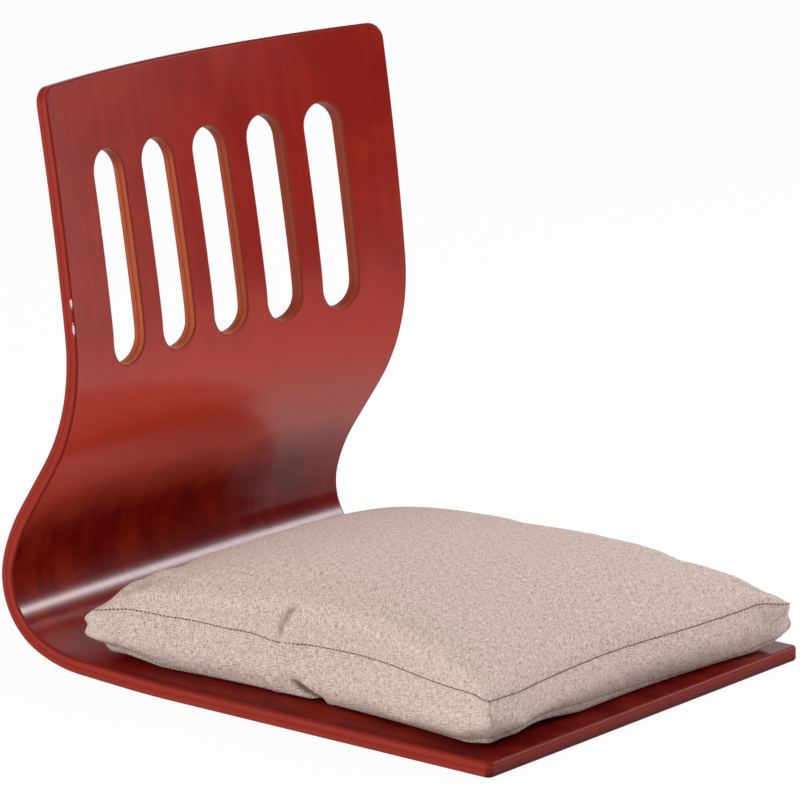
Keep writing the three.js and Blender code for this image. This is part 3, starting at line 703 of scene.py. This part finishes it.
def cloth_finish(part, slant):
    """Plain weave of slubby oatmeal yarns: pale and brown lengths lie side by side, and the weave leans a little;
    deep folds are darkened with painted shade.
    """
    made = Finish(f"oat_linen_{part}")
    flat = made.place(f"{part}_cloth")
    wander = made.noise(flat, (0.03, 0.03, 0.1), 2, 0.5, output="Color")
    leaning = {"Vector": flat, "Rotation": (0, 0, slant)}
    leaning = made.node("Mapping", {"vector_type": "TEXTURE"}, leaning, "Vector")
    swayed = made.stretched(wander, (7, 7, 0), leaning)
    weft_wave, warp_wave = ((made.part(swayed, axis) * (pi / yarn_pitch)).sum("SINE") for axis in "XY")
    over = (weft_wave * warp_wave * 3 + 0.5).held()
    weft = made.noise(swayed, (0.95, 0.18, 0.1), 1, 0.6)
    warp = made.noise(swayed, (0.18, 0.9, 0.1), 1, 0.6, (31, 17, 5))
    nubs = made.noise(swayed, (0.6, 0.5, 0.1), 2, 0.7, (3, 41, 9))
    tone = weft * over * 0.88 + warp * (1 - over) * 0.88 + nubs * 0.12
    gaps = (1 - weft_wave * weft_wave) * (1 - warp_wave * warp_wave)
    patch = made.noise(flat, (0.012, 0.012, 0.1), 2, 0.5)
    deep = made.part(made.place("fold_depth"), "X")
    cloth = made.ramp(tone, [(0.38, yarn_dark), (0.465, yarn_middle), (0.50, yarn_middle), (0.59, yarn_light)])
    cloth = made.mix(gaps * 0.6, cloth, (110, 86, 76))
    cloth = made.mix((patch - 0.5) * 0.5 + 0.08, cloth, yarn_middle)
    # painted shade: the cloth darkens where a fold is pressed deep
    cloth = made.mix(deep.step(0.6, 5) * 0.85, cloth, (84, 64, 56))
    made.set(Base_Color=cloth, Roughness=0.92, Sheen_Weight=0.12, Sheen_Roughness=0.45)
    made.set(relief=(weft_wave * warp_wave * 0.25 + tone * 0.7 - gaps * 0.6, 0.0005, 0.7))
    return made


cover_faces = panel_faces()
for k in range(len(strip_rows) - 1):
    for i in range(seam_count):
        j = (i + 1) % seam_count
        by_zip = min(loop_v[i], loop_v[j]) > 0.999 and max(abs(loop_x[i]), abs(loop_x[j])) < zip_half
        if not (k in zip_rows and by_zip):
            cover_faces.append((strip_rows[k][i], strip_rows[k][j], strip_rows[k + 1][j], strip_rows[k + 1][i]))
panel_face_count = 2 * cells_across * cells_deep
cover_kinds = [0] * panel_face_count + [1] * (len(cover_faces) - panel_face_count)
cover_cloths = [cloth_finish("panel", 0.5), cloth_finish("strip", 0.08)]
cover = add_object("cushion_cover", cover_points + cover_middle, cover_faces, cover_cloths, cover_kinds)


def mesh_numbers(mesh, field="co"):
    """Each point's place in metres, or the way it faces."""
    numbers = np.zeros(len(mesh.vertices) * 3)
    mesh.vertices.foreach_get(field, numbers)
    return numbers.reshape(-1, 3)


def move_points(piece, places):
    piece.data.vertices.foreach_set("co", places.ravel())
    piece.data.update()


def fill_cover(piece, loose, slack, furthest, kept_share):
    """Blows the sewn cover up from inside, with the seams and the back held, and keeps how it settles."""
    group = piece.vertex_groups.new(name="held")
    group.add([int(i) for i in np.flatnonzero(~loose)], 1, "REPLACE")
    blown = piece.modifiers.new("filling", "CLOTH")
    for name, value in {
            "vertex_group_mass": "held", "quality": 6, "mass": 0.25, "tension_stiffness": 12,
            "compression_stiffness": 8, "shear_stiffness": 4, "bending_stiffness": 0.35, "use_pressure": True,
            "uniform_pressure_force": 4, "shrink_min": -slack}.items():
        setattr(blown.settings, name, value)
    blown.settings.effector_weights.gravity = 0
    for moment in range(1, 21):
        bpy.context.scene.frame_set(moment)
    after = mesh_numbers(piece.evaluated_get(bpy.context.evaluated_depsgraph_get()).data)
    piece.modifiers.remove(blown)
    piece.vertex_groups.remove(group)
    bpy.context.scene.frame_set(1)
    before = mesh_numbers(piece.data)
    moved = after - before
    outward = mesh_numbers(piece.data, "normal")
    moved -= outward * np.minimum(0, (moved * outward).sum(-1, keepdims=True) + 0.001)
    reach = np.linalg.norm(moved, axis=-1, keepdims=True)
    moved *= np.minimum(1, furthest / np.maximum(reach, 1e-9)) * kept_share
    move_points(piece, before + moved)


is_loose = np.zeros(len(cover_points), bool)
is_loose[:panel_count] = True
is_loose[seam_loop] = False
for row in strip_rows[1:-1]:
    is_loose[row] = on_back == 0
fill_cover(cover, is_loose, 0.045, 0.006, 0.5)


def walked(points, first):
    """Length of cloth from one line of points to every other one, below 0 before it."""
    steps = np.linalg.norm(np.diff(points, axis=0), axis=-1)
    lengths = np.cumsum(np.pad(steps, ((1, 0), (0, 0))), axis=0)
    return lengths - lengths[first]


def lay_cloth(points):
    """Where each point lies on the flat cloth: one map for the two panels, one for the strip."""
    panel_map, strip_map = np.zeros((2, len(points), 3))
    for start in (0, panel_count):
        grid = points[panel_grid + start]
        deep = walked(grid, cells_deep // 2)
        over = walked(grid.transpose(1, 0, 2), cells_across // 2).T
        panel_map[panel_grid + start] = np.stack([over, deep, np.full(over.shape, start)], -1)
    rows = points[np.array(strip_rows)]
    round_lengths = walked(rows.transpose(1, 0, 2), 0)[:, len(rows) // 2]
    for row, heights in zip(strip_rows, walked(rows, 0)):
        strip_map[row] = np.stack([round_lengths, heights, np.full(len(row), 500)], -1)
    return panel_map, strip_map


def keep_modifiers(piece):
    """Makes a piece's modifiers part of its mesh."""
    with bpy.context.temp_override(object=piece, active_object=piece, selected_objects=[piece]):
        for modifier in list(piece.modifiers):
            bpy.ops.object.modifier_apply(modifier=modifier.name)


settled = mesh_numbers(cover.data) * 1000 - cover_middle
panel_map, strip_map = lay_cloth(settled)
note_places(cover, "panel_cloth", panel_map)
note_places(cover, "strip_cloth", strip_map)
seam_rows = (strip_rows[0], strip_rows[-1])
seam_pairs = {frozenset((int(a), int(b))) for row in seam_rows for a, b in zip(row, np.roll(row, -1))}
crease = cover.data.attributes.new("crease_edge", "FLOAT", "EDGE")
for edge in cover.data.edges:
    if frozenset(edge.vertices) in seam_pairs:
        crease.data[edge.index].value = 1
softened = cover.modifiers.new("softened", "SUBSURF")
softened.levels = 1
keep_modifiers(cover)


def folded(points, normals, path, seen_along, width, sink, swell, beside):
    """The cloth with a fold pressed in along a path, spare cloth standing up on one side, and how deep it goes."""
    flatten = np.where(np.arange(3) == seen_along, 0.25, 1)
    path = np.array(path, float) * flatten
    places = points * flatten
    nearest = np.full(len(points), 1e6)
    reached, aside = np.zeros((2, len(points)))
    for k, (start, end) in enumerate(zip(path, path[1:])):
        run = end - start
        share = np.clip((places - start) @ run / (run @ run), 0, 1)
        apart = places - start - share[:, None] * run
        distance = np.linalg.norm(apart, axis=-1)
        closer = distance < nearest
        nearest = np.where(closer, distance, nearest)
        reached = np.where(closer, (k + share) / (len(path) - 1), reached)
        aside = np.where(closer, apart @ unit(np.array(beside, float)), aside)
    fade = np.minimum(1, (1 - reached) * 2.5) * np.minimum(1, reached * 6 + 0.4)
    valley = np.exp(-(nearest / width) ** 2)
    ridge = np.exp(-((aside - 1.7 * width) / width) ** 2) * (nearest < 4 * width)
    return points + normals * ((swell * ridge - sink * valley) * fade)[:, None], valley * fade * max(sink, 0)


# folds, in this order: the crease on top, the tuck on the right side and the flap's ridge beside it, the near corner,
# and the slack ways to the front right and the back left corner
sewn = mesh_numbers(cover.data) * 1000 - cover_middle
cloth_ways = mesh_numbers(cover.data, "normal")
fold_shade_depths = np.zeros(len(sewn))
for path, seen_along, width, sink, swell, beside in (
        ([(-157, 38, 41), (-152, 35, 58), (-148, 28, 67), (-140, 18, 77)], 2, 3.2, 3.6, 2.2, (0, -1, 0)),
        ([(-167, -14, 2), (-167, 0, 7), (-166, 22, 15)], 0, 3.2, 11, 2, (0, -0.5, 0.87)),
        ([(-168, 50, 16), (-167, 38, 9), (-167, 26, 1)], 0, 3.2, -2.6, 0, (0, -1, 0)),
        ([(-182, -201, 38), (-181, -200, 24), (-178, -198, 12)], 1, 2.4, 1.8, 1.2, (-1, 0.4, 0)),
        ([(176, -205, 44), (160, -188, 58), (140, -168, 74)], 2, 7, 1.6, 0.6, (-1, 0, 0)),
        ([(-174, 196, 44), (-156, 172, 64), (-138, 150, 78)], 2, 8, 2.0, 0.6, (1, 0, 0))):
    sewn, depth = folded(sewn, cloth_ways, path, seen_along, width, sink, swell, beside)
    fold_shade_depths = np.maximum(fold_shade_depths, depth)
move_points(cover, (sewn + cover_middle) * 0.001)
# the folds' depth is kept for the cloth finish, which paints shade into them
note_places(cover, "fold_depth", np.stack([fold_shade_depths] * 3, -1))

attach(cover, "cushion")
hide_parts("cushion_top_panel", "cushion_bottom_panel", "cushion_boxing", "zip_cloth_upper", "zip_cloth_lower")


# Filling: a foam block cut to the cover's plan, with a layer of wadding over its top that rounds it. Both are loose
# inside the cover and are seen only when it is opened.
def filling_shape(name, tops, bottoms, finish):
    """A closed block between two grids of points."""
    faces = panel_faces()
    faces += [(a, a + panel_count, b + panel_count, b) for a, b in zip(seam_loop, np.roll(seam_loop, -1))]
    return add_object(name, np.concatenate([tops, bottoms]) + cover_middle, faces, [finish])


corner_share = (panel_u * panel_v) ** 4
squeeze = np.stack([0.955 - 0.05 * corner_share] * 2 + [np.ones(panel_count)], -1)
rim_drop = np.array([[0, 0, 1]]) * (1 - full)[:, None]
wadding_top = settled[:panel_count] * squeeze - (0, 0, 4) - rim_drop * 2
wadding_under = wadding_top - (0, 0, 9) + rim_drop * 4
foam_top = wadding_under - (0, 0, 0.6)
foam_floor = settled[panel_count:2 * panel_count, 2] + 2.5 + 6 * corner_share
foam_under = np.stack([foam_top[:, 0], foam_top[:, 1], foam_floor], -1)

fleece = Finish("spun_wadding")
fibres = fleece.noise(fleece.place("filling_place"), (0.25, 0.25, 0.25), 6, 0.7, distortion=1.2)
spun_white = fleece.ramp(fibres, [(0.3, (226, 224, 216)), (0.7, (248, 247, 242))])
fleece.set(Base_Color=spun_white, Roughness=0.95, relief=(fibres, 0.002, 0.8))
foam = Finish("cut_foam")
foam_place = foam.stretched(foam.place("filling_place"), (0.9, 0.9, 0.9))
bubbles = foam.node("TexVoronoi", {"feature": "F1"}, {"Vector": foam_place, "Scale": 1}, "Distance")
foam_yellow = foam.ramp(bubbles, [(0.05, (196, 180, 126)), (0.5, (234, 220, 172))])
foam.set(Base_Color=foam_yellow, Roughness=0.95, relief=(bubbles, 0.0006, 0.8))
for name, upper, under, finish, node, slot in (
        ("wadding_fleece", wadding_top, wadding_under, fleece, "wadding_layer", "white_wadding"),
        ("foam_block", foam_top, foam_under, foam, "foam_core", "foam")):
    filling = filling_shape(name, upper, under, finish)
    note_places(filling, "filling_place", np.concatenate([upper, under]))
    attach(filling, "cushion")
    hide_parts(node)


# Seams: the top panel is sewn to the strip with dark brown thread that shows as a dotted line, and the bottom panel
# with thread of the cloth's own colour, painted darker as the shade along the lower seam. The raw edges are turned
# inside.
def seam_line(points, pitch):
    """Evenly spaced places along a closed seam, each with its way ahead."""
    closed = np.concatenate([points, points[:1]])
    marks = walked(closed[:, None], 0)[:, 0]
    spots = np.linspace(0, marks[-1], int(marks[-1] / pitch), endpoint=False)
    at, onward = (np.stack([np.interp(places, marks, closed[:, k]) for k in range(3)], -1)
                  for places in (spots, (spots + 0.5) % marks[-1]))
    return at, unit(onward - at)


stitch_pitch = 3.5
stitch_length = 2.5
stitch_shape = [(-0.5, 0.35, -0.25), (-0.3, 0.9, 0.05), (0, 1, 0.15), (0.3, 0.9, 0.05), (0.5, 0.35, -0.25)]
stitch_angles = [2 * pi * corner / 5 for corner in range(5)]


def sew(name, row, thickness, lift, thread, light, dark):
    """A row of single stitches, each a short rounded bar of thread that dips in at both ends."""
    line = sewn[row]
    line = line * 0.75 + (np.roll(line, 1, axis=0) + np.roll(line, -1, axis=0)) * 0.125
    at, ahead = seam_line(line, stitch_pitch)
    outward = unit(np.cross(ahead, (0, 0, 1)))
    upward = np.cross(outward, ahead)
    points = []
    faces = []
    for spot, way, out, rise in zip(at, ahead, outward, upward):
        faces += tube_faces(len(stitch_shape), len(stitch_angles), len(points))
        for along, girth, proud in stitch_shape:
            radius = thickness / 2 * girth
            for angle in stitch_angles:
                aside = out * (lift + proud + radius * cos(angle)) + rise * radius * sin(angle)
                points.append(spot + way * along * stitch_length + aside)
    made = Finish(thread)
    twist = made.noise(made.place("thread_place"), (2.5, 2.5, 2.5), 3, 0.6)
    made.set(Base_Color=made.ramp(twist, [(0.35, dark), (0.65, light)]), Roughness=0.7, Sheen_Weight=0.2)
    made.set(relief=(twist, 0.0002, 0.6))
    stitches = add_object(name, np.array(points) + cover_middle, faces, [made])
    note_places(stitches, "thread_place", np.array(points))
    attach(stitches, "cushion")


sew("top_seam_stitches", strip_rows[-1], 1.15, 0.3, "brown_thread", (116, 84, 68), (66, 46, 38))
# the lower seam's thread is darker than the cloth as painted shade, standing in for the seam's shadow line
sew("lower_seam_stitches", strip_rows[0], 0.8, 0.1, "oat_thread_painted_shade", (150, 122, 106), (112, 88, 76))

# Zip: two rows of nylon coil sewn to woven tapes, closed across the back of the cover, with a metal slider, its pull
# and a stop at each end. The tapes' outer edges are sewn behind the slit in the strip.
woven = Finish("woven_tape")
tape_place = woven.place("tape_place")
twill = ((woven.part(tape_place, "X") + woven.part(tape_place, "Z")) * 6.5).sum("SINE") * 0.5 + 0.5
tape_fibres = woven.noise(tape_place, (1.5, 1.5, 4), 3, 0.6)
tape_tone = twill * 0.5 + tape_fibres * 0.5
tape_colours = [(0.25, (156, 136, 118)), (0.75, (202, 182, 162))]
woven.set(Base_Color=woven.ramp(tape_tone, tape_colours), Roughness=0.9, relief=(twill, 0.00015, 0.7))
nylon = Finish("nylon_coil")
coil_sheen = nylon.noise(nylon.place("tape_place"), (0.4, 0.4, 0.4), 2, 0.5)
coil_colours = [(0.3, (172, 152, 132)), (0.7, (200, 180, 160))]
nylon.set(Base_Color=nylon.ramp(coil_sheen, coil_colours), Roughness=0.38, Coat_Weight=0.1)
metal = Finish("zip_metal")
rubbing = metal.noise(metal.place("tape_place"), (0.5, 0.5, 2.5), 4, 0.65)
worn = rubbing.step(0.52, 0.66)
metal_tone = metal.mix(worn * 0.6, (122, 112, 102), (176, 168, 158))
metal.set(Base_Color=metal_tone, Metallic=0.85, Roughness=0.42 - worn * 0.14, relief=(rubbing, 0.00005, 0.4))

# a tape's section, as how far it dips in and how high it lies, and the coil's wire
tape_section = [(0.12, 0), (0, 0.35), (0.04, 2), (0, 4), (0.04, 6), (0, 8), (0.04, 10), (0, 11.65), (0.12, 12)]
tape_stations = 113
wire = 0.34
coil_pitch = 1.4
turn_steps = 9
for side in ("upper", "lower"):
    low, high = box_of(f"zip_tape_{side}")
    middle = (low + high) / 2
    points = []
    for x in np.linspace(low[0], high[0], tape_stations):
        points += [(x, high[1] - dip, low[2] + rise) for dip, rise in tape_section]
        points += [(x, low[1] + dip, low[2] + rise) for dip, rise in reversed(tape_section)]
    tape = add_object(f"zip_tape_{side}_woven", points, tube_faces(tape_stations, 2 * len(tape_section)), [woven])
    note_places(tape, "tape_place", np.array(points) - middle)

    low, high = box_of(f"zip_coil_{side}")
    turns = int((high[0] - low[0] - 2 * wire) / coil_pitch)
    angles = np.linspace(0, 2 * pi * turns, turns * turn_steps + 1)
    inward = 1 if side == "upper" else -1
    path = np.stack([
        np.linspace(low[0] + wire, high[0] - wire, len(angles)),
        low[1] + wire + (high[1] - low[1] - 2 * wire) * np.maximum(0, np.sin(angles)) ** 0.8,
        (low[2] + high[2]) / 2 - inward * ((high[2] - low[2]) / 2 - wire) * np.cos(angles),
    ], -1)
    ahead = unit(np.gradient(path, axis=0))
    sideways = unit(np.cross(ahead, (1, 0, 0)))
    upright = np.cross(sideways, ahead)
    wire_ring = [wire * (cos(a) * sideways + sin(a) * upright) for a in np.linspace(0, 2 * pi, 5)[:-1]]
    points = np.stack([path + offset for offset in wire_ring], 1).reshape(-1, 3)
    coil = add_object(f"zip_coil_{side}_teeth", points, tube_faces(len(path), len(wire_ring), closed=False), [nylon])
    note_places(coil, "tape_place", points - middle)
    for piece, node in ((tape, f"zip_tape_{side}"), (coil, f"zip_coil_{side}")):
        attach(piece, "cushion")
        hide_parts(node)

metal_middle = sum(box_of("zip_tape_lower")) / 2
for node, body, rounding in (
        ("zip_stop_closed", "cushion", 0.35), ("zip_stop_open", "cushion", 0.35),
        ("zip_slider", "zip_slider", 0.16), ("zip_pull", "zip_pull", 0.3)):
    cast = bpy.data.meshes.new_from_object(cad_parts[node])
    cast.name = f"{node}_cast"
    cast.materials.clear()
    cast.materials.append(metal.material)
    piece = put_in_scene(f"{node}_cast", cast)
    softer = piece.modifiers.new("softer", "BEVEL")
    softer.width = rounding / 1000
    softer.segments = 3
    softer.limit_method = "ANGLE"
    softer.angle_limit = radians(40)
    keep_modifiers(piece)
    note_places(piece, "tape_place", mesh_numbers(piece.data) * 1000 - metal_middle)
    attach(piece, body)
    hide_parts(node)

# Floor and light: a plain white studio floor that keeps the chair's shadow, one large soft lamp on the sitter's left
# that draws the bright band in the bend, two softer ones above and on the right, and a pale surround that darkens to
# the front and is bright again to the left and behind, where the face sheets mirror it.
floor_corners = [(9000 * x, 9000 * y, 0) for x, y in ((-1, -1), (1, -1), (1, 1), (-1, 1))]
white_floor = Finish("white_studio_floor")
white_floor.set(Base_Color=(228.54, 228.54, 228.54), Roughness=0.9, Specular_IOR_Level=0.1)
seen_white = white_floor.ray("Camera") + white_floor.ray("Glossy") + white_floor.ray("Transmission")
white = white_floor.node("Emission", {}, {"Color": (255, 255, 255), "Strength": 1})
white_floor.blend_in(seen_white.held() * 0.95, white)
floor = add_object("studio_floor", floor_corners, [(0, 1, 2, 3)], [white_floor])


def soft_lamp(name, azimuth, elevation, distance, width, height, radiance, tint=(1, 1, 1)):
    """A rectangular lamp that faces the chair from a compass bearing and a height angle."""
    lamp = bpy.data.lights.new(name, "AREA")
    lamp.shape = "RECTANGLE"
    lamp.size = width
    lamp.size_y = height
    lamp.energy = radiance * pi * width * height
    lamp.color = tint
    stand = put_in_scene(name, lamp)
    bearing, rise = radians(azimuth), radians(elevation)
    way = Vector((cos(rise) * cos(bearing), cos(rise) * sin(bearing), sin(rise)))
    stand.location = Vector((0, 0.1, 0.15)) + way * distance
    stand.rotation_euler = way.to_track_quat("Z", "Y").to_euler()


soft_lamp("band_lamp", -36, 27, 2.5, 1.5, 0.27, 28, (1, 0.94, 0.98))
soft_lamp("top_lamp", 100, 78, 2.2, 1.6, 1.6, 1.0)
soft_lamp("side_lamp", 180, 16, 2.4, 1.4, 0.9, 7.6)

air = Finish("studio_surround", bpy.data.worlds, "Background")
bpy.context.scene.world = air.material
way_out = air.node("TexCoord", {}, {}, "Generated")


def toward(way, low, high):
    """How far the surround's rays go one way, from 0 to 1."""
    return air.node("VectorMath", {"operation": "DOT_PRODUCT"}, {0: way_out, 1: way}, "Value").step(low, high)


to_front = toward((-0.30, -0.954, 0), 0.35, 0.85)
to_left = toward((0.966, -0.259, 0), 0.85, 0.98)
to_back = toward((0.72, 0.604, 0.342), 0.80, 0.97)
plain = (air.ray("Camera") + air.ray("Transmission")).held()
glossy = air.ray("Glossy")
glossy_level = 0.03 + to_left * 0.56 + to_back * 0.72
diffuse_level = 0.46 - to_front * 0.13
level = plain + (1 - plain) * (glossy * glossy_level + (1 - glossy) * diffuse_level)
air.set(Color=(255, 255, 255), Strength=level)

bpy.context.scene.view_settings.view_transform = "Standard"
